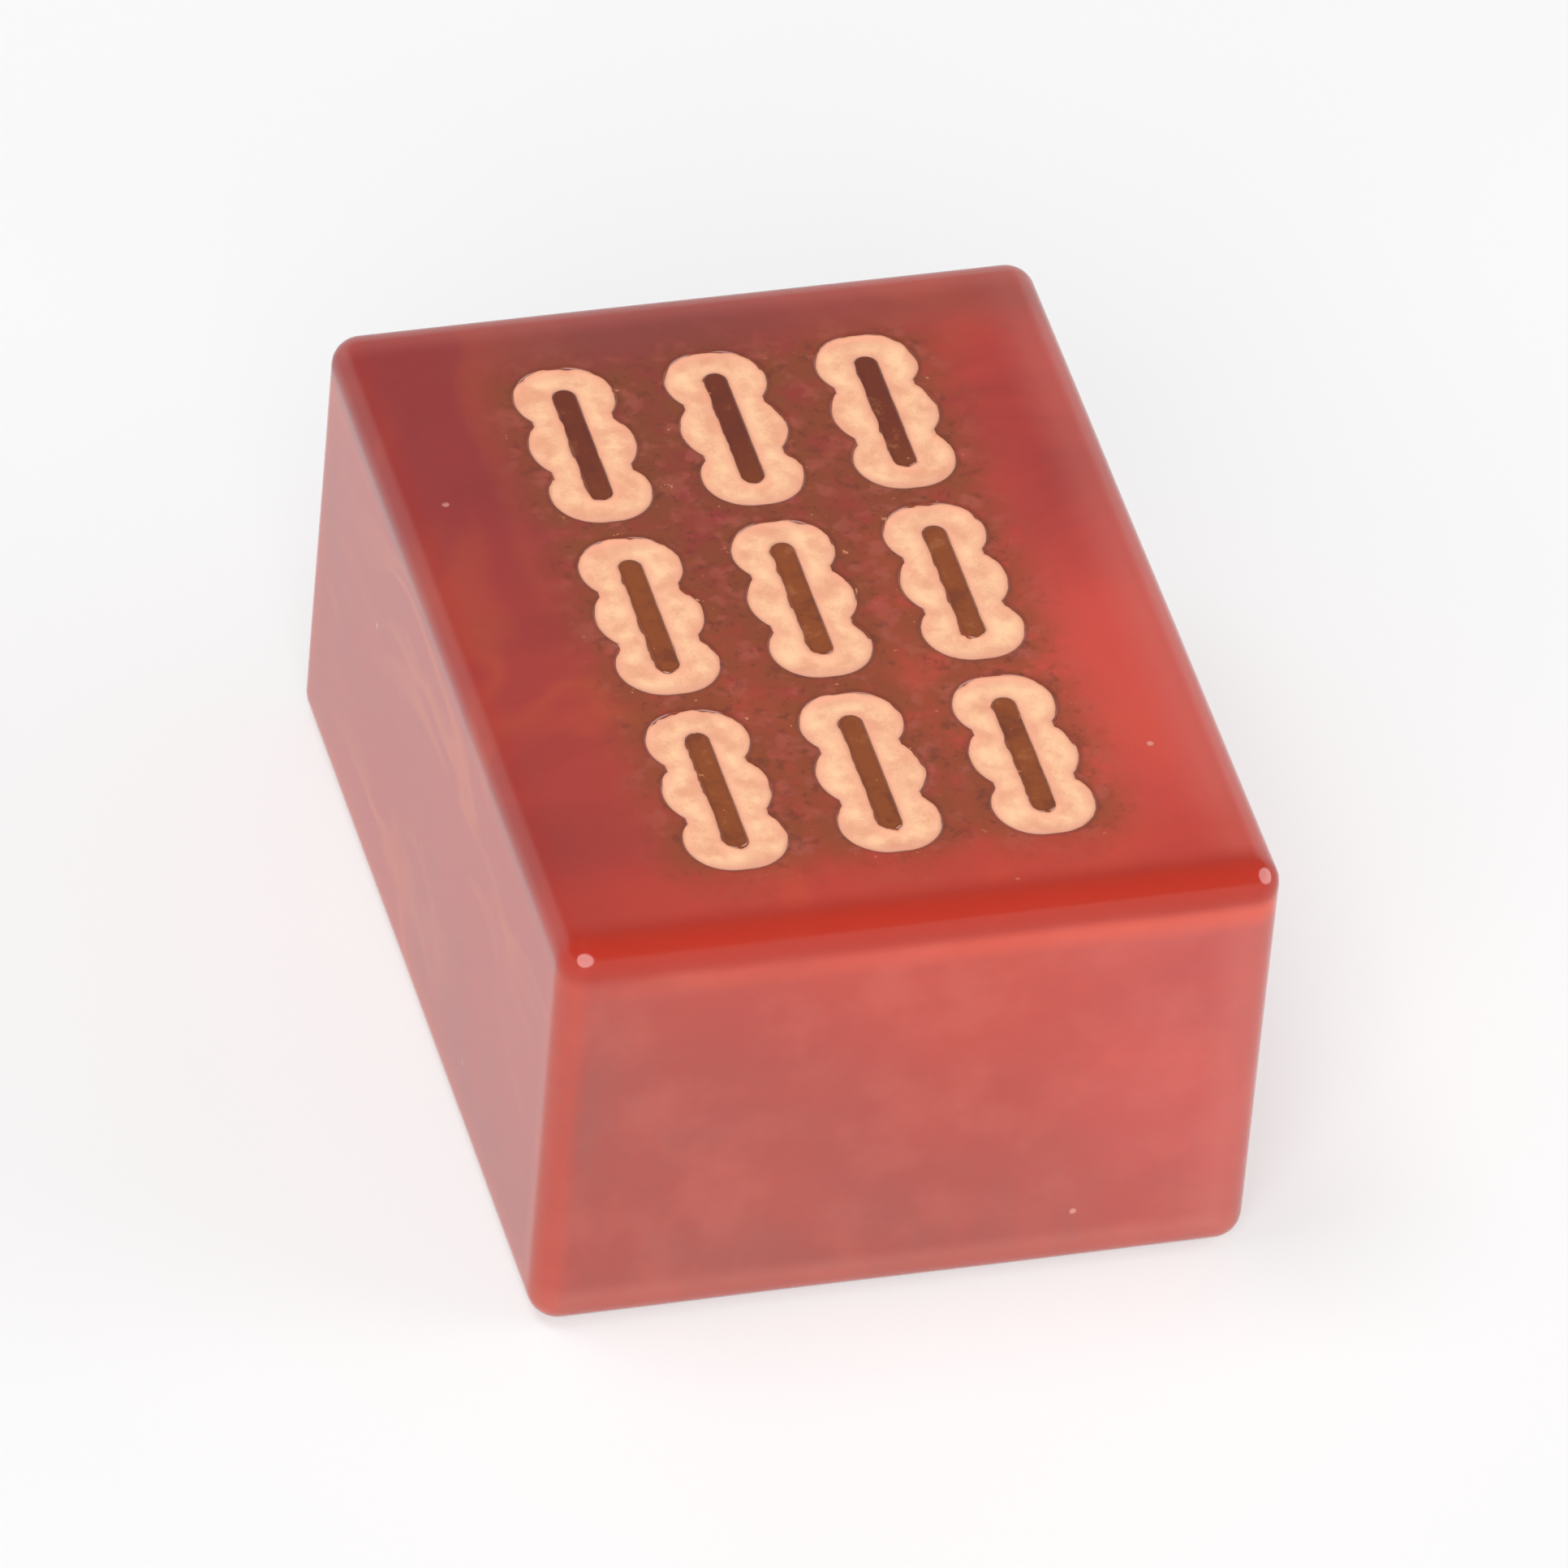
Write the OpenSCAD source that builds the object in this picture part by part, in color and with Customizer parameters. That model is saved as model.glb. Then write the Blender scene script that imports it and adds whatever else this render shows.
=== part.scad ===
// Mahjong tile with nine bamboo sticks: one cast resin block, and the paint in its engraving.
// The tile lies on its plain back. X runs across the columns of sticks, Y along the sticks
// and Z up through the engraved face. The origin is the centre of the back.

/* [Tile] */
// Width across the three columns of sticks
tile_width = 30; // [27:0.5:36]
// Length along the sticks
tile_length = 40; // [36:0.5:46]
// Thickness from the plain back to the engraved face
tile_thickness = 20; // [12:0.5:28]
// Rounding of the edges round the back and the engraved face
edge_radius = 1.2; // [0.4:0.1:1.6]
// How much larger the radius of the four upright corners is than the edge radius
corner_extra = 0.1; // [0.1:0.1:2.3]

/* [Bamboo stick] */
// Width of the cap at each end of a stick
cap_width = 4.2; // [3.8:0.1:4.8]
// Height of a cap along the stick, less than its width, so that its outer end is blunt
cap_height = 3.7; // [3:0.1:3.7]
// Width of the round node in the middle of a stick
node_width = 4.4; // [3.8:0.1:4.8]
// Width of the neck between the node and a cap
neck_width = 3.3; // [2.6:0.1:3.5]
// Width of the ridge left standing down the middle of a stick
ridge_width = 1.05; // [0.6:0.05:1.6]
// From either end of a stick to the end of its ridge
ridge_inset = 1.3; // [0.8:0.1:2.5]

/* [Layout of the sticks] */
// From either side of the tile to the nodes of the nearest column
side_margin = 6.4; // [4:0.1:8]
// From either end of the tile to the caps of the nearest row
end_margin = 4.2; // [2.5:0.1:6]
// Gap between two neighbouring rows, from cap to cap
row_gap = 1.15; // [0.4:0.05:2]

/* [Engraving] */
// Depth of the engraved grooves
groove_depth = 0.6; // [0.3:0.05:1.5]
// From the engraved face down to the surface of the paint
paint_recess = 0.12; // [0.05:0.01:0.25]

/* [Hidden] */
ROWS = ["front", "middle", "back"];
COLUMNS = ["left", "centre", "right"];
function fill_name(row, column) = str("bamboo_fill_", ROWS[row], "_", COLUMNS[column]);

// Three rows of sticks fill the length between the end margins, and three columns reach
// from one side margin to the other.
stick_length = (tile_length - 2 * end_margin - 2 * row_gap) / 3;
row_pitch = stick_length + row_gap;
column_pitch = (tile_width - 2 * side_margin - node_width) / 2;
cap_centre = (stick_length - cap_height) / 2;

corner_radius = edge_radius + corner_extra;
overrun = 0.5; // how far a cut runs on past the face it opens
$fn = 48;

// A rectangle with round corners, about the origin.
module rounded_rectangle(width, height, radius) {
    square([width - 2 * radius, height], center = true);
    square([width, height - 2 * radius], center = true);
    for (side = [-1, 1], end = [-1, 1])
        translate([side * (width / 2 - radius), end * (height / 2 - radius)])
            circle(r = radius);
}

// One upright corner of the block: a quarter turn of the rounded wall, as high as the tile.
module corner_post() {
    rotate_extrude(angle = 90)
        intersection() {
            translate([0, tile_thickness / 2])
                rounded_rectangle(2 * corner_radius, tile_thickness, edge_radius);
            square([corner_radius, tile_thickness]);
        }
}

// The block before engraving: a bar across, a bar along, and a corner post in each angle
// between them.
module blank() {
    straight_width = tile_width - 2 * corner_radius;
    straight_length = tile_length - 2 * corner_radius;
    translate([0, 0, tile_thickness / 2]) {
        rotate([90, 0, 90])
            linear_extrude(height = straight_width, center = true)
                rounded_rectangle(tile_length, tile_thickness, edge_radius);
        rotate([90, 0, 0])
            linear_extrude(height = straight_length, center = true)
                rounded_rectangle(tile_width, tile_thickness, edge_radius);
    }
    for (quarter = [0:3]) {
        turned = quarter % 2 == 1;
        rotate(90 * quarter)
            translate([
                (turned ? straight_length : straight_width) / 2,
                (turned ? straight_width : straight_length) / 2,
                0
            ])
                corner_post();
    }
}

// Outline of a bamboo stick: a blunt cap at each end, a round node between them, and a
// straight neck that joins the three. A cap is two circles with a square between them.
module stick_outline() {
    circle(d = node_width);
    square([neck_width, 2 * cap_centre], center = true);
    for (end = [-1, 1])
        translate([0, end * cap_centre]) {
            square([cap_width - cap_height, cap_height], center = true);
            for (side = [-1, 1])
                translate([side * (cap_width - cap_height) / 2, 0]) circle(d = cap_height);
        }
}

// Outline of the ridge inside a stick, with round ends.
module ridge_outline() {
    ridge_end = stick_length / 2 - ridge_inset - ridge_width / 2;
    square([ridge_width, 2 * ridge_end], center = true);
    for (end = [-1, 1])
        translate([0, end * ridge_end]) circle(d = ridge_width);
}

// What is cut, and then painted, for one stick: the outline less its ridge, between two
// depths below the engraved face.
module stick_ring(top_depth, bottom_depth) {
    translate([0, 0, tile_thickness - bottom_depth])
        linear_extrude(height = bottom_depth - top_depth)
            difference() {
                stick_outline();
                ridge_outline();
            }
}

module at_stick(row, column) {
    translate([(column - 1) * column_pitch, (row - 1) * row_pitch, 0]) children();
}

// The resin block, with a groove for each stick.
module tile_body() {
    color([0.60, 0.11, 0.08])
        difference() {
            blank();
            for (row = [0:2], column = [0:2])
                at_stick(row, column) stick_ring(-overrun, groove_depth);
        }
}

// The gold paint of one stick, set on the floor of its groove and just below the face.
module bamboo_fill(row, column) {
    color([0.93, 0.70, 0.45])
        at_stick(row, column) stick_ring(paint_recess, groove_depth);
}

tile_body();
for (row = [0:2], column = [0:2])
    bamboo_fill(row, column);
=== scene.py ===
import math

import bpy
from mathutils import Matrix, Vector, kdtree, noise
from mathutils.geometry import delaunay_2d_cdt


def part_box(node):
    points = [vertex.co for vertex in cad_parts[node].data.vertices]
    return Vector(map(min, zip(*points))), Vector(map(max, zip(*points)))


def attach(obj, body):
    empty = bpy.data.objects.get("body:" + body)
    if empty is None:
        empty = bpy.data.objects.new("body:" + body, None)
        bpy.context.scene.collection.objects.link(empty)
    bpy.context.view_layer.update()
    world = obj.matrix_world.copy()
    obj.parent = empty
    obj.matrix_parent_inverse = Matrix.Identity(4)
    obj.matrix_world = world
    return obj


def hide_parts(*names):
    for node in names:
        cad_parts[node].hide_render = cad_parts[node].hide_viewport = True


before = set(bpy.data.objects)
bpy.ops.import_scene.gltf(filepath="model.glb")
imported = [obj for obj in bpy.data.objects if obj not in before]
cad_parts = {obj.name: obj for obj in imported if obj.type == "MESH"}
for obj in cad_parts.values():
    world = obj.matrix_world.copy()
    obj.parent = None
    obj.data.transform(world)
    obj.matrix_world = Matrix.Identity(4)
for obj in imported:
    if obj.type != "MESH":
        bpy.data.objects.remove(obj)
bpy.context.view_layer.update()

# THE RESIN BLOCK
# One casting of clouded red resin, sawn to size and tumbled until its edges are round and its
# faces shine. The outline of every bamboo stick is then engraved in its top face, which
# leaves an uncut ridge down the middle of each stick.

mm = 0.001
tile_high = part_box("tile_body")[1]
half_width, half_length, thickness = tile_high.x, tile_high.y, tile_high.z
edge_radius = 1.2 * mm
corner_radius = 1.3 * mm
sharpest = 0.04 * mm  # no corner of a row of points is tighter than this
mesh_pitch = 0.9 * mm  # between the points on the flat faces
support = 0.16 * mm  # a row of points this far in from each rounding keeps the flats flat
edge_steps = 6
corner_steps = 8
node_steps = 8  # points on each quarter of a stick's round node
cap_steps = 20
rim_steps = 5
least_gap = 0.45  # of the mesh's pitch, between a point of a flat face and its outline
wear_least = 0.01 * mm  # the tumbling has worn the faces a little out of true
wear_most = 0.045 * mm
wear_wave = 9 * mm

ROWS = ("front", "middle", "back")
COLUMNS = ("left", "centre", "right")
stick_boxes = {
    (row, column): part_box(f"bamboo_fill_{row}_{column}") for row in ROWS for column in COLUMNS
}
stick_low, stick_high = stick_boxes["middle", "centre"]
column_pitch = stick_boxes["middle", "right"][0].x - stick_low.x
row_pitch = stick_boxes["back", "centre"][0].y - stick_low.y
groove_depth = thickness - stick_low.z
node_radius = stick_high.x
stick_half = stick_high.y
cap_radius = 1.85 * mm
cap_shift = 0.25 * mm  # from a stick's centre line to the centres of the two arcs of its cap
cap_centre = stick_half - cap_radius
neck_half = 1.65 * mm
ridge_radius = 0.525 * mm
ridge_inset = 1.3 * mm  # from a stick's end to the end of its ridge
ridge_end = stick_half - ridge_inset - ridge_radius
rim_radius = 0.12 * mm  # the polished rim of each groove
rim_support = 0.1 * mm


def arc(x, y, radius, start, end, steps):
    """Points on an arc about (x, y), without its first one; angles are in radians."""
    turn = (end - start) / steps
    return [
        (x + radius * math.cos(start + turn * i), y + radius * math.sin(start + turn * i))
        for i in range(1, steps + 1)
    ]


def stick_outline(grow=0.0):
    """A stick's outline about its own centre, grown by a distance, as anticlockwise points."""
    node, cap, neck = node_radius + grow, cap_radius + grow, neck_half + grow
    node_turn = math.acos(neck / node)
    cap_turn = math.acos((neck - cap_shift) / cap)
    half = arc(0, 0, node, 0, node_turn, node_steps)
    half.append((neck, cap_centre - cap * math.sin(cap_turn)))
    half += arc(cap_shift, cap_centre, cap, -cap_turn, math.pi / 2, cap_steps)
    half.append((-cap_shift, cap_centre + cap))
    half += arc(-cap_shift, cap_centre, cap, math.pi / 2, math.pi + cap_turn, cap_steps)
    half.append((-neck, node * math.sin(node_turn)))
    half += arc(0, 0, node, math.pi - node_turn, math.pi, node_steps)
    return half + [(-x, -y) for x, y in half]


def ridge_outline(radius):
    """The ridge inside a stick, with one point for each point of the stick's own outline."""
    points = []
    for x, y in stick_outline():
        middle = max(-ridge_end, min(ridge_end, y))
        reach = math.hypot(x, y - middle)
        points.append((x / reach * radius, middle + (y - middle) / reach * radius))
    return points


def plan_outline(inset):
    """The tile seen from above, drawn in by a distance: straight sides and round corners."""
    radius = max(corner_radius - inset, sharpest)
    side, end = half_width - inset - radius, half_length - inset - radius
    points = []
    for quarter, (x, y) in enumerate(((side, end), (-side, end), (-side, -end), (side, -end))):
        start = quarter * math.pi / 2
        points.append((x + radius * math.cos(start), y + radius * math.sin(start)))
        points += arc(x, y, radius, start, start + math.pi / 2, corner_steps)
        run = 2 * (end if quarter % 2 else side)
        # Every row has as many points on a straight side as the outermost row.
        longest = 2 * ((half_length if quarter % 2 else half_width) - corner_radius)
        steps = round(longest / mesh_pitch)
        stops = [support / run] + [i / steps for i in range(1, steps)] + [1 - support / run]
        from_x, from_y = points[-1]
        across, along = ((-1, 0), (0, -1), (1, 0), (0, 1))[quarter]
        points += [(from_x + across * run * s, from_y + along * run * s) for s in stops]
    return points


def wear(place):
    """How far a point of the surface lies below the true one, from the tumbling."""
    share = 0.5 + 0.5 * noise.noise(place / wear_wave)
    return wear_least + (wear_most - wear_least) * max(0.0, min(1.0, share))


class Mesh:
    """Collects points and faces, and makes them into a smooth object."""

    def __init__(self):
        self.points = []
        self.faces = []

    def loop(self, points, z):
        """Adds a closed row of points; z is a height, or one height for each point."""
        first = len(self.points)
        heights = z if isinstance(z, list) else [z] * len(points)
        self.points += [Vector((x, y, h)) for (x, y), h in zip(points, heights)]
        return list(range(first, len(self.points)))

    def bridge(self, lower, upper):
        """Joins two closed rows that have as many points as each other."""
        for i in range(len(lower)):
            j = (i + 1) % len(lower)
            self.faces.append((lower[i], lower[j], upper[j], upper[i]))

    def flat(self, outer, holes, z, pitch, facing_up=True):
        """Fills a flat face inside a row of points, less its holes, with even triangles."""
        used = [i for row in [outer] + holes for i in row]
        order = {i: n for n, i in enumerate(used)}
        near = kdtree.KDTree(len(used))
        for n, i in enumerate(used):
            near.insert((self.points[i].x, self.points[i].y, 0), n)
        near.balance()
        low_x = min(self.points[i].x for i in outer)
        low_y = min(self.points[i].y for i in outer)
        width = max(self.points[i].x for i in outer) - low_x
        length = max(self.points[i].y for i in outer) - low_y
        columns, lines = math.ceil(width / pitch), math.ceil(length / pitch)
        extra = []
        for a in range(1, columns):
            for b in range(1, lines):
                spot = Vector((low_x + width * a / columns, low_y + length * b / lines))
                if near.find((*spot, 0))[2] > least_gap * pitch:
                    extra.append(spot)
        flat_points = [self.points[i].to_2d() for i in used] + extra
        outlines = [[order[i] for i in row] for row in [outer] + holes]
        one_point = 1e-9  # points nearer to each other than this are one
        spots, _, faces, spot_sources, _, face_sources = delaunay_2d_cdt(
            flat_points, [], outlines, 1, one_point, True)
        index = {}
        for n, sources in enumerate(spot_sources):
            if sources and sources[0] < len(used):
                index[n] = used[sources[0]]
            else:
                index[n] = len(self.points)
                self.points.append(Vector((*spots[n], z)))
        for face, sources in zip(faces, face_sources):
            if sources == [0]:  # it lies in the outer row and in no hole
                corners = [index[n] for n in face]
                self.faces.append(tuple(corners if facing_up else reversed(corners)))

    def build(self, name, material):
        data = bpy.data.meshes.new(name)
        data.from_pydata(self.points, [], self.faces)
        data.materials.append(material)
        data.validate()
        data.shade_smooth()
        made = bpy.data.objects.new(name, data)
        bpy.context.scene.collection.objects.link(made)
        return made


def groove_sections():
    """(distance out from the groove's outline, depth below the face), from rim to floor.

    The foot of each wall has a fillet as large as the rim's rounding.
    """
    quarter = [math.pi / 2 * i / rim_steps for i in range(rim_steps + 1)]
    rim = [(rim_radius + rim_support, 0.0)]
    rim += [(rim_radius * (1 - math.sin(a)), rim_radius * (1 - math.cos(a))) for a in quarter]
    foot = rim_radius
    fillet = [
        (-foot * (1 - math.cos(a)), groove_depth - foot * (1 - math.sin(a))) for a in quarter[::2]
    ]
    return rim + fillet


def block_mesh():
    """The rounded block with its grooves, before the tumbling has worn it."""
    mesh = Mesh()
    turns = [math.pi / 2 * i / edge_steps for i in range(edge_steps + 1)]
    levels = [(edge_radius * (1 - math.sin(a)), edge_radius * (1 - math.cos(a))) for a in turns]
    climb = thickness - 2 * edge_radius
    steps = round(climb / mesh_pitch)
    upright = [edge_radius + support]
    upright += [edge_radius + climb * i / steps for i in range(1, steps)]
    upright += [thickness - edge_radius - support]
    rings = [(edge_radius + support, 0.0)]
    rings += levels
    rings += [(0.0, z) for z in upright]
    rings += [(inset, thickness - depth) for inset, depth in reversed(levels)]
    rings.append((edge_radius + support, thickness))
    rows = [mesh.loop(plan_outline(inset), z) for inset, z in rings]
    for lower, upper in zip(rows, rows[1:]):
        mesh.bridge(lower, upper)
    mouths = []
    sections = groove_sections()
    for low, high in stick_boxes.values():
        x, y = (low.x + high.x) / 2, (low.y + high.y) / 2

        def ring(points, depth):
            return mesh.loop([(x + px, y + py) for px, py in points], thickness - depth)

        outer = [ring(stick_outline(out), depth) for out, depth in sections]
        inner = [ring(ridge_outline(ridge_radius - out), depth) for out, depth in sections]
        for upper, lower in zip(outer, outer[1:]):
            mesh.bridge(upper, lower)
        for upper, lower in zip(inner, inner[1:]):
            mesh.bridge(lower, upper)
        mesh.bridge(outer[-1], inner[-1])
        mesh.flat(inner[0], [], thickness, mesh_pitch / 2)
        mouths.append(outer[0])
    mesh.flat(rows[-1], mouths, thickness, mesh_pitch)
    mesh.flat(rows[0], [], 0.0, mesh_pitch, facing_up=False)
    return mesh


def weather(mesh):
    """Moves every point in by what the tumbling has taken off."""
    reach = edge_radius * 1.2
    for p in mesh.points:
        push = Vector((
            -math.copysign(max(0, 1 - (half_width - abs(p.x)) / reach), p.x),
            -math.copysign(max(0, 1 - (half_length - abs(p.y)) / reach), p.y),
            max(0, 1 - p.z / reach) - max(0, 1 - (thickness - p.z) / reach),
        ))
        if push.length > 0:
            p += push.normalized() * wear(p)


class Wire:
    """One value, colour or vector in a shader. Operators add Math nodes, node() the rest."""

    def __init__(self, tree, socket=None):
        self.tree = tree
        self.socket = socket

    def node(self, kind, settings=None, inputs=None, output=0):
        made = self.tree.nodes.new("ShaderNode" + kind)
        for name, value in (settings or {}).items():
            setattr(made, name, value)
        for name, value in (inputs or {}).items():
            if isinstance(value, Wire):
                self.tree.links.new(value.socket, made.inputs[name])
            else:
                made.inputs[name].default_value = value
        return Wire(self.tree, made.outputs[output])

    def maths(self, operation, *values):
        return self.node("Math", {"operation": operation}, dict(enumerate((self, *values))))

    def vector(self, operation, *values):
        inputs = dict(enumerate((self, *values)))
        return self.node("VectorMath", {"operation": operation}, inputs)

    def __add__(self, other):
        return self.maths("ADD", other)

    def __radd__(self, other):
        return self.maths("ADD", other)

    def __sub__(self, other):
        return self.maths("SUBTRACT", other)

    def __rsub__(self, other):
        return self.maths("MULTIPLY", -1).maths("ADD", other)

    def __mul__(self, other):
        return self.maths("MULTIPLY", other)

    def __rmul__(self, other):
        return self.maths("MULTIPLY", other)

    def __truediv__(self, other):
        return self.maths("DIVIDE", other)

    def least(self, other):
        return self.maths("MINIMUM", other)

    def most(self, other):
        return self.maths("MAXIMUM", other)

    def size(self):
        return self.maths("ABSOLUTE")

    def rise(self, start, end):
        """0 at the start and 1 at the end, with a smooth step between them."""
        return self.node(
            "MapRange", {"interpolation_type": "SMOOTHSTEP"},
            {"Value": self, "From Min": start, "From Max": end},
        )

    def mix(self, colour, share):
        """This colour, with a share of another one laid over it."""
        return self.node("Mix", {"data_type": "RGBA"}, {0: share, 6: self, 7: colour}, 2)

    def blend(self, first, second):
        """From the first colour, where this is 0, to the second, where it is 1."""
        return self.node("Mix", {"data_type": "RGBA"}, {0: self, 6: first, 7: second}, 2)

    def part(self, axis):
        return self.node("SeparateXYZ", inputs={0: self}, output="XYZ".index(axis))

    def noise(self, scale, detail=2.0, roughness=0.5, distortion=0.0, output=0):
        inputs = {"Vector": self, "Scale": scale, "Detail": detail, "Roughness": roughness,
                  "Distortion": distortion}
        return self.node("TexNoise", {}, inputs, output)

    def far_from(self, spot):
        return Wire(self.tree, self.vector("DISTANCE", spot).socket.node.outputs["Value"])

    def feed(self, shader, socket):
        self.tree.links.new(self.socket, shader.inputs[socket])


def rgb(red, green, blue):
    """A colour as a screen shows it, 0 to 255, as the linear one that a shader takes."""
    return (*(((c / 255 + 0.055) / 1.055) ** 2.4 for c in (red, green, blue)), 1)


def new_material(name, **constants):
    """A material, its shader, and the place on the object in millimetres."""
    material = bpy.data.materials.new(name)
    material.use_nodes = True
    shader = material.node_tree.nodes["Principled BSDF"]
    for socket, value in constants.items():
        shader.inputs[socket.replace("_", " ")].default_value = value
    where = Wire(material.node_tree).node("TexCoord", output="Object")
    return material, shader, where.vector("MULTIPLY", (1 / mm,) * 3)


def stick_distances(place):
    """Distances in mm, seen from above: out from the nearest stick, out from its ridge, and
    along it from its centre."""
    local = []
    for axis, pitch in (("X", column_pitch / mm), ("Y", row_pitch / mm)):
        along = place.part(axis)
        nearest = (along / pitch).maths("ROUND").most(-1).least(1)
        local.append((along - nearest * pitch).size())
    x, y = local

    def length(a, b):
        return (a * a + b * b).maths("SQRT")

    node = length(x, y) - node_radius / mm
    cap = length((x - cap_shift / mm).most(0), y - cap_centre / mm) - cap_radius / mm
    neck = (x - neck_half / mm).most(y - cap_centre / mm)
    ridge = length(x, (y - ridge_end / mm).most(0)) - ridge_radius / mm
    return node.least(cap).least(neck), ridge, y


def resin_material():
    material, shader, place = new_material(
        "clouded_red_resin", IOR=1.54, Subsurface_Weight=0.4,
        Subsurface_Radius=(1.0, 0.22, 0.1), Subsurface_Scale=1.5 * mm)
    x, y, z = (place.part(axis) for axis in "XYZ")
    side, end, top = half_width / mm, half_length / mm, thickness / mm
    under, from_front = top - z, y + end

    # Soft clouds, stretched and stirred as the resin was poured.
    stretched = place.vector("MULTIPLY", (1.0, 0.55, 1.3))
    bend = place.noise(0.05, output=1).vector("SUBTRACT", (0.5, 0.5, 0.5))
    stirred = stretched.vector("ADD", bend.vector("MULTIPLY", (14.0, 14.0, 14.0)))
    clouds = stirred.noise(0.07, 3.0, 0.5, 0.5)
    streaks = stirred.vector("MULTIPLY", (0.4, 2.4, 1.0)).noise(0.2, 5.0, 0.6, 1.0)
    body = (clouds * 0.7 + streaks * 0.3).rise(0.32, 0.68).blend(rgb(148, 44, 40), rgb(186, 62, 50))

    # A purple haze at the back left of the face is a painted reflection, broken up by the clouds;
    # a cherry red cloud lies along its right and an orange one at the front. The left of the
    # block is a little darker: painted shade.
    purple_reflection_haze = (place.far_from((-9.0, 15.0, top)) - 12 * (clouds - 0.5)).rise(20.0, 5.0)
    body = body.mix(rgb(134, 42, 48), purple_reflection_haze * 0.65)
    orange = (place.far_from((2.0, -end, top)) - 8 * (streaks - 0.5)).rise(11.0, 2.0)
    body = body.mix(rgb(190, 64, 46), orange * 0.6)
    cherry = (place.far_from((14.0, -7.0, 19.0)) - 14 * (clouds - 0.5)).rise(17.0, 4.0)
    body = body.mix(rgb(213, 76, 62), cherry * 0.8)
    body = body.mix(rgb(140, 44, 34), x.rise(-6.0, -11.0) * 0.3)

    # The left, right and back sides are a deep orange red, darker than the front end, as
    # painted shade, with broad drifts. Amber veins run through them, and faintly through the face
    # as well.
    front_end = from_front.rise(1.6, 0.4)
    below_face = under.rise(1.1, 2.4)
    front_or_face = front_end.most(1 - below_face)
    drift = place.vector("ADD", (31.0, 7.0, 3.0)).noise(0.1, 4.0, 0.6, 0.8).rise(0.42, 0.72)
    body = body.mix(rgb(184, 46, 26), (1 - front_or_face) * (0.9 - 0.35 * drift))
    vein = (stirred.noise(0.1, 2.0, 0.5, 0.6) - 0.5).size().rise(0.07, 0.0)
    vein_share = clouds.rise(0.4, 0.65) * (0.2 + 0.35 * (1 - front_or_face))
    body = body.mix(rgb(214, 100, 46), vein * vein_share)

    # The front end is pale, partly from the resin's milkiness and partly as a painted reflection of
    # the white table and the light from the front, more so low down, with soft smudges, and it
    # carries painted highlights along its right, left and lower edges.
    mostly_front = 0.1 + 0.9 * front_end
    milk_and_reflection = (x + 8 * (clouds - 0.5)).rise(2.0, 13.0).blend(rgb(190, 73, 59), rgb(199, 85, 78))
    body = body.mix(milk_and_reflection, below_face * (0.62 + 0.2 * drift) * mostly_front)
    low = (z + 0.5 * x).rise(17.0, 4.0) * (0.45 + 0.35 * drift)
    body = body.mix(rgb(150, 80, 72), low * mostly_front)
    smudge = place.vector("ADD", (3.0, 5.0, 2.0)).noise(0.32, 3.0, 0.55)
    body = body.mix(rgb(214, 116, 102), smudge.rise(0.42, 0.72) * front_end * 0.16)
    # Painted highlights along the right, left and lower edges of the front end.
    body = body.mix(rgb(200, 110, 100), x.rise(11.5, 14.5) * front_or_face * 0.5)
    body = body.mix(rgb(212, 86, 64), x.rise(-13.6, -14.4) * front_end * 0.4)
    body = body.mix(rgb(206, 122, 108), z.rise(2.4, 1.4) * front_end * 0.3)

    # The face is redder toward its front edge, and browner toward its back edge.
    near_front = from_front.most(3 * under).rise(6.5, 3.0)
    body = body.mix(rgb(206, 60, 34), near_front * 0.3)
    near_back = y.rise(14.5, 17.5) * x.rise(-12.0, -6.0) * (1 - below_face)
    body = body.mix(rgb(130, 76, 64), near_back * 0.4)

    # Where the block is thin, near its edges, the orange red of light coming through it is painted
    # into the colour. It is painted most at the front edge of the face, with a painted highlight
    # line below the band, and the back edge is pale with a painted highlight.
    from_side, from_end = side - x.size(), end - y.size()
    from_face = top / 2 - (z - top / 2).size()
    nearest_edge = from_side.most(from_end).least(from_side.most(from_face)).least(
        from_end.most(from_face))
    body = body.mix(rgb(166, 40, 24), nearest_edge.rise(1.8, 0.4) * 0.3)
    painted_front_glow = from_front.most(1.2 * under).rise(2.3, 1.1)
    body = body.mix(rgb(172, 36, 4), painted_front_glow * 0.87)
    # Painted highlight: a bright line below the front band.
    line = under.rise(1.2, 1.8) * under.rise(2.9, 1.9)
    body = body.mix(rgb(228, 92, 66), line * (0.32 + 0.015 * x) * (0.5 + 0.5 * front_end))
    body = body.mix(rgb(212, 84, 42), nearest_edge.rise(2.6, 0.9) * (1 - front_or_face) * 0.35)
    # Painted highlight along the back edge of the face.
    body = body.mix(rgb(196, 106, 98), y.rise(17.6, 18.9) * under.rise(1.0, 0.2) * 0.35)

    # The face is browner round the sticks, in blotches and flecks, and the ridges are brown,
    # darker toward the back.
    stick, ridge, _ = stick_distances(place)
    on_face = under.rise(1.5, 0.8)
    brown_mottle = place.noise(0.6, 4.0, 0.65)
    among = x.size().rise(10.5, 8.0) * y.size().rise(17.0, 14.5)
    near = stick.rise(3.2, 0.3) * on_face * (0.35 + 0.65 * among)
    body = body.mix(rgb(128, 68, 22), near * brown_mottle.rise(0.2, 0.55) * 0.75)
    blotch = place.vector("ADD", (1.0, 8.0, 4.0)).noise(0.8, 2.0, 0.6).rise(0.5, 0.66)
    body = body.mix(rgb(182, 90, 76), near * blotch * 0.4)
    fleck = place.vector("ADD", (5.0, 2.0, 9.0)).noise(1.7, 3.0, 0.7)
    body = body.mix(rgb(92, 36, 22), near * fleck.rise(0.54, 0.66) * 0.45)
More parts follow.
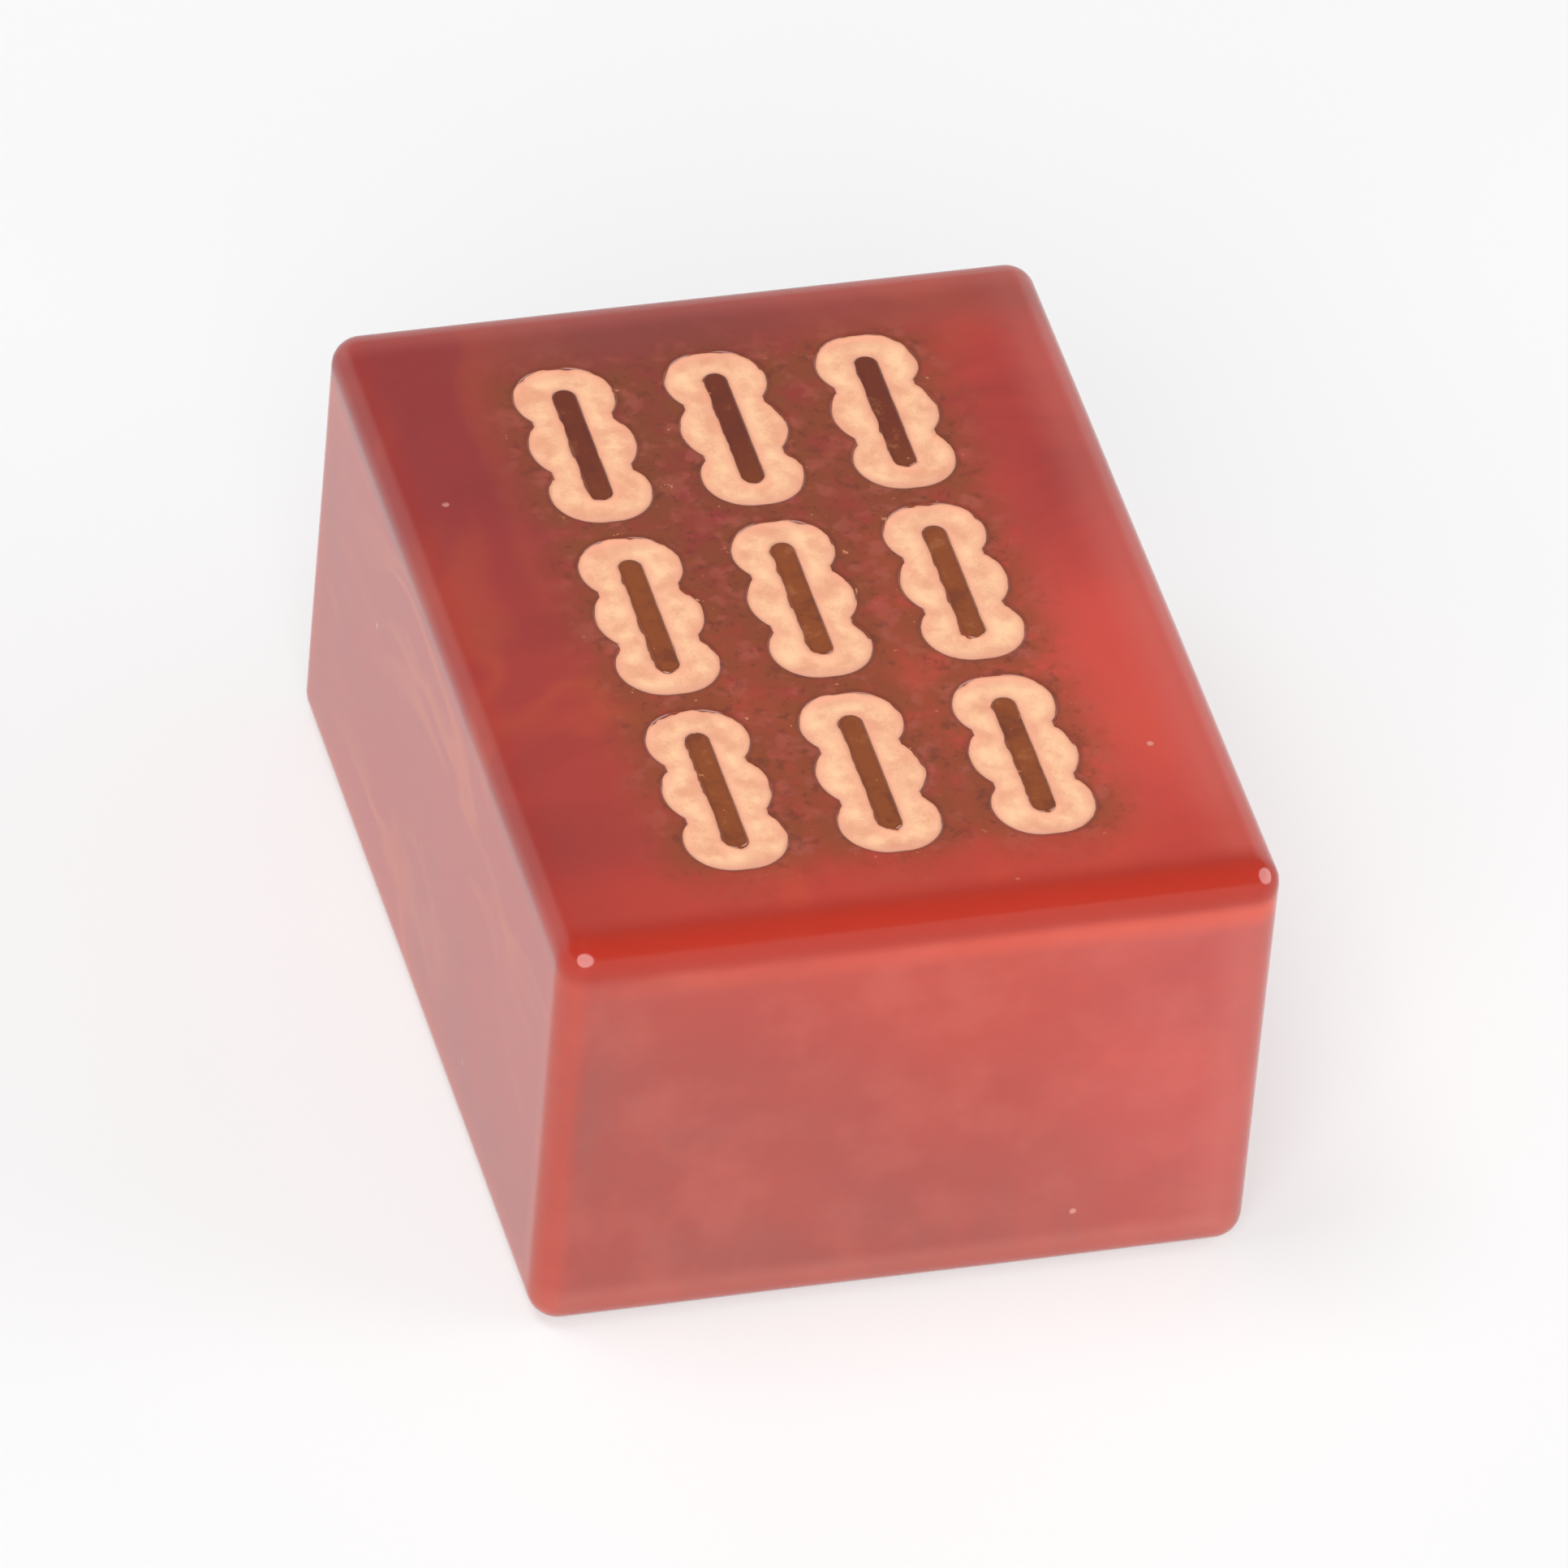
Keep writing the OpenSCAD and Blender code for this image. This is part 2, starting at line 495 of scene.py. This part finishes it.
    # Painted shade: a thin dark outline round each stick, along the groove's edge.
    body = body.mix(rgb(110, 44, 26), stick.rise(0.3, 0.0) * on_face * 0.6)
    brown = (y.rise(3.0, 11.0) * 0.9).blend(rgb(142, 69, 16), rgb(106, 34, 0))
    brown = brown.mix(rgb(96, 32, 6), brown_mottle.rise(0.5, 0.66) * 0.5)
    brown = brown.mix(rgb(176, 108, 58), brown_mottle.rise(0.44, 0.3) * 0.5)
    # Painted shade along the edges of each ridge.
    brown = brown.mix(rgb(84, 26, 4), ridge.rise(-0.25, 0.0) * 0.4)
    body = body.mix(brown, ridge.rise(0.12, -0.1) * on_face * 0.9)

    # Handling has left a few pale specks and a faint bloom of fine scratches, and the wiping
    # of the paint has left gold dust beside the sticks.
    speck = place.node("TexVoronoi", {"feature": "F1"}, {"Vector": place, "Scale": 0.35})
    grain = place.noise(0.5, 2.0)
    speck = speck.rise(0.07, 0.03) * grain.rise(0.58, 0.62)
    body = body.mix(rgb(226, 170, 156), speck * 0.6)
    gilt = near * stick.rise(1.8, 0.4) * fleck.rise(0.32, 0.28)
    body = body.mix(rgb(226, 160, 112), gilt * 0.6)
    body.feed(shader, "Base Color")
    scratch = place.vector("MULTIPLY", (0.3, 4.0, 4.0)).noise(1.6, 4.0, 0.7, 0.4)
    (0.05 + 0.07 * scratch + 0.05 * grain).feed(shader, "Roughness")
    ripple = place.noise(0.35, 2.0) + 0.15 * scratch
    place.node("Bump", inputs={
        "Strength": 0.5, "Distance": 0.006 * mm, "Height": ripple}).feed(shader, "Normal")
    return material


block = block_mesh()
weather(block)
resin_block = block.build("resin_block", resin_material())
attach(resin_block, "root")
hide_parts("tile_body")

# THE GOLD PAINT
# Pale gold paint, flooded over the engraving and wiped off the face while wet. It stays in the
# grooves, a little hollow in the middle, where it clings to the walls and creeps on to the rims.

paint_hollow = 0.13 * mm  # below the face, in the middle of a stroke
paint_reach = 0.15 * rim_radius  # from the groove's wall out on to the rim, on average
creep = 0.05 * mm  # how far the paint's edge wanders
creep_wave = 0.8 * mm
film = 0.008 * mm  # how far the paint on the rim stands above the face
overlap = 0.02 * mm  # how far the paint is keyed into the resin, so that no gap shows
sunk = 0.05 * mm  # from the paint's visible edge down to where it meets the wall
brush_wave = 1.1 * mm
brush_depth = 0.018 * mm
dish_power = 3.2  # the larger, the flatter the middle of the hollow
ridge_seed = 40  # so that the paint's two edges wander apart from each other

# Where the paint's surface has a row of points, as shares of the way across a stroke.
ACROSS = (0, 0.03, 0.08, 0.16, 0.28, 0.42, 0.58, 0.72, 0.84, 0.92, 0.97, 1)


def paint_edge(x, y, seed):
    """(distance out from the groove's wall, depth below the face) of the paint's edge.

    The edge lies on the wall where it falls short of the rim, and on the face where it
    comes out over it.
    """
    spot = Vector((x, y, seed * creep_wave)) / creep_wave
    out = paint_reach + creep * (noise.noise(spot) + 0.5 * noise.noise(2.7 * spot))
    if out <= 0:
        return 0.0, rim_radius - 0.6 * out
    if out >= rim_radius:
        return out, -film
    return out, rim_radius * (1 - math.sqrt(1 - (1 - out / rim_radius) ** 2)) - film


def paint_mesh(low, high, seed):
    """The paint of one stick: a closed ring with a hollow top and an uneven edge."""
    mesh = Mesh()
    cx, cy = (low.x + high.x) / 2, (low.y + high.y) / 2
    outer_edge, inner_edge = [], []
    walls = zip(stick_outline(), stick_outline(rim_radius), ridge_outline(ridge_radius))
    for wall, grown, ridge in walls:
        out, depth = paint_edge(cx + wall[0], cy + wall[1], seed)
        spot = Vector(wall).lerp(Vector(grown), out / rim_radius)
        outer_edge.append((cx + spot.x, cy + spot.y, depth))
        out, depth = paint_edge(cx + ridge[0], cy + ridge[1], seed + ridge_seed)
        spot = Vector(ridge) + (Vector(ridge) - Vector(wall)).normalized() * out
        inner_edge.append((cx + spot.x, cy + spot.y, depth))

    def row(share):
        """One row of the paint's surface, a share of the way from its outer edge in."""
        dish = 1 - abs(2 * share - 1) ** dish_power
        points, heights = [], []
        for outer, inner in zip(outer_edge, inner_edge):
            x, y, rim = Vector(outer).lerp(Vector(inner), share)
            brush = noise.noise(Vector((x, y, seed * mm)) / brush_wave) * brush_depth
            points.append((x, y))
            heights.append(thickness - rim - (paint_hollow - rim + brush) * dish)
        return mesh.loop(points, heights)

    def skirt(edge):
        return mesh.loop([p[:2] for p in edge], [thickness - p[2] - sunk for p in edge])

    def foot(points):
        return mesh.loop([(cx + x, cy + y) for x, y in points], low.z - overlap)

    rows = [foot(stick_outline(overlap)), skirt(outer_edge)]
    rows += [row(share) for share in ACROSS]
    rows += [skirt(inner_edge), foot(ridge_outline(ridge_radius - overlap))]
    for outer, inner in zip(rows, rows[1:] + rows[:1]):
        mesh.bridge(outer, inner)
    for p in mesh.points:
        p.z -= wear(p)
    return mesh


def paint_material():
    """Gold in warm and pale patches, pinker on the caps and darker where it thins out."""
    material, shader, place = new_material("pale_gold_paint", Metallic=0.15, IOR=1.5)
    flakes = place.noise(9.0, 2.0, 0.6)
    patches = place.noise(0.8, 3.0, 0.55)
    tone = (0.8 * patches + 0.2 * flakes).rise(0.33, 0.67)
    gold = tone.blend(rgb(234, 165, 129), rgb(255, 207, 162))
    stick, ridge, along = stick_distances(place)
    gold = gold.mix(rgb(222, 150, 122), along.rise(3.9, 4.6) * 0.4)
    edge = stick.most(-1 * ridge) + 0.25 * (patches - 0.5)
    gold = gold.mix(rgb(240, 166, 138), edge.rise(-0.55, -0.1) * 0.5)
    gold = gold.mix(rgb(204, 126, 94), edge.rise(-0.16, 0.1) * 0.7)
    gold.feed(shader, "Base Color")
    (0.42 + 0.18 * flakes).feed(shader, "Roughness")
    place.node("Bump", inputs={
        "Strength": 0.3, "Distance": 0.02 * mm, "Height": flakes}).feed(shader, "Normal")
    return material


gold_paint = paint_material()
for seed, ((row, column), (low, high)) in enumerate(stick_boxes.items()):
    paint = paint_mesh(low, high, seed + 1).build(f"gold_paint_{row}_{column}", gold_paint)
    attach(paint, "root")
    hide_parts(f"bamboo_fill_{row}_{column}")

# THE FLOOR AND THE LIGHT
# A plain white table under broad soft lamps, in a white room whose ceiling is grey. They light
# the tile as a small object is photographed for sale, and aren't part of it.

floor_half = 3.0
floor_mesh = Mesh()
floor_mesh.points = [
    Vector((x * floor_half, y * floor_half, 0)) for x, y in ((-1, -1), (1, -1), (1, 1), (-1, 1))
]
floor_mesh.faces = [(0, 1, 2, 3)]
floor_material, floor_shader, floor_place = new_material("pale_floor", Specular_IOR_Level=0.2)
mottle = floor_place.noise(0.02, 2.0).rise(0.3, 0.7)
mottle.blend(rgb(238, 238, 238), rgb(241, 241, 241)).feed(floor_shader, "Base Color")
(0.55 + 0.1 * mottle).feed(floor_shader, "Roughness")


def seen_directly(wire):
    """1 where a ray comes from the camera, a reflection or through glass, or else 0."""
    camera_ray = wire.node("LightPath", output="Is Camera Ray")
    glossy_ray = wire.node("LightPath", output="Is Glossy Ray")
    return camera_ray.most(glossy_ray).most(wire.node("LightPath", output="Is Transmission Ray"))


# Half of what the camera sees of the floor is plain white; the other half takes the shadow.
floor_nodes = floor_material.node_tree
white = floor_place.node("Emission", inputs={"Color": (1, 1, 1, 1), "Strength": 1.0})
lit = Wire(floor_nodes, floor_shader.outputs[0])
whitened = lit.node("MixShader", inputs={0: seen_directly(lit) * 0.5, 1: lit, 2: white})
whitened.feed(floor_nodes.nodes["Material Output"], "Surface")
floor_mesh.build("floor", floor_material)

ambient = 0.58
world = bpy.data.worlds.new("white_room")
bpy.context.scene.world = world
world.use_nodes = True
room = Wire(world.node_tree)
background = world.node_tree.nodes["Background"]
(ambient + (1 - ambient) * seen_directly(room)).feed(background, "Strength")
upward = room.node("TexCoord", output="Generated").part("Z").rise(0.36, 0.6)
upward.blend((1, 1, 1, 1), (0.42, 0.42, 0.44, 1)).feed(background, "Color")

tile_middle = Vector((0, 0, thickness / 2))


def lamp(name, place, size, power, lights=True, mirrored=True):
    """A round lamp that faces the tile, with place and size in metres and power in watts."""
    light = bpy.data.lights.new(name, "AREA")
    light.shape = "DISK"
    light.size = size
    light.energy = power
    made = bpy.data.objects.new(name, light)
    made.location = place
    made.visible_diffuse = lights
    made.visible_glossy = mirrored
    made.rotation_euler = (Vector(place) - tile_middle).to_track_quat("Z", "Y").to_euler()
    bpy.context.scene.collection.objects.link(made)


lamp("key", (-0.35, -0.8, 0.6), 0.7, 6.6, mirrored=False)
lamp("overhead", (-0.3, 0.1, 0.95), 0.5, 3.7, mirrored=False)
lamp("fill", (0.75, -0.25, 0.45), 0.6, 2.3, mirrored=False)

# The glints on the polished edges come from two broad white screens in front of the lamps.
lamp("key_screen", (-0.32, -0.74, 0.555), 1.0, 12.0, lights=False)
lamp("fill_screen", (0.69, -0.23, 0.415), 0.8, 6.5, lights=False)

# THE CAMERA
# It stands where the photograph's did: to the left of the tile's front end and well above it.
# The photograph shows a whole set, so this lens is a longer one, and the tile fills the frame.

camera_azimuth, camera_elevation, camera_roll = (math.radians(a) for a in (-18.2, 40.5, 5.45))
camera_distance = 0.893
photo_focal = 5185  # pixels, of the photograph's 1932
closer = 5.2  # how many times larger the tile is in this picture
photo_width = 1932

camera_data = bpy.data.cameras.new("camera")
camera = bpy.data.objects.new("camera", camera_data)
bpy.context.scene.collection.objects.link(camera)
bpy.context.scene.camera = camera
away = Vector((
    math.sin(camera_azimuth) * math.cos(camera_elevation),
    -math.cos(camera_azimuth) * math.cos(camera_elevation),
    math.sin(camera_elevation)))
camera.location = tile_middle + away * camera_distance
camera.rotation_euler = away.to_track_quat("Z", "Y").to_euler()
camera.rotation_euler.rotate_axis("Z", camera_roll)
camera_data.sensor_width = 36
camera_data.lens = photo_focal * closer / photo_width * camera_data.sensor_width
camera_data.clip_start = 0.01
camera_data.clip_end = 20

bpy.context.scene.view_settings.view_transform = "Standard"
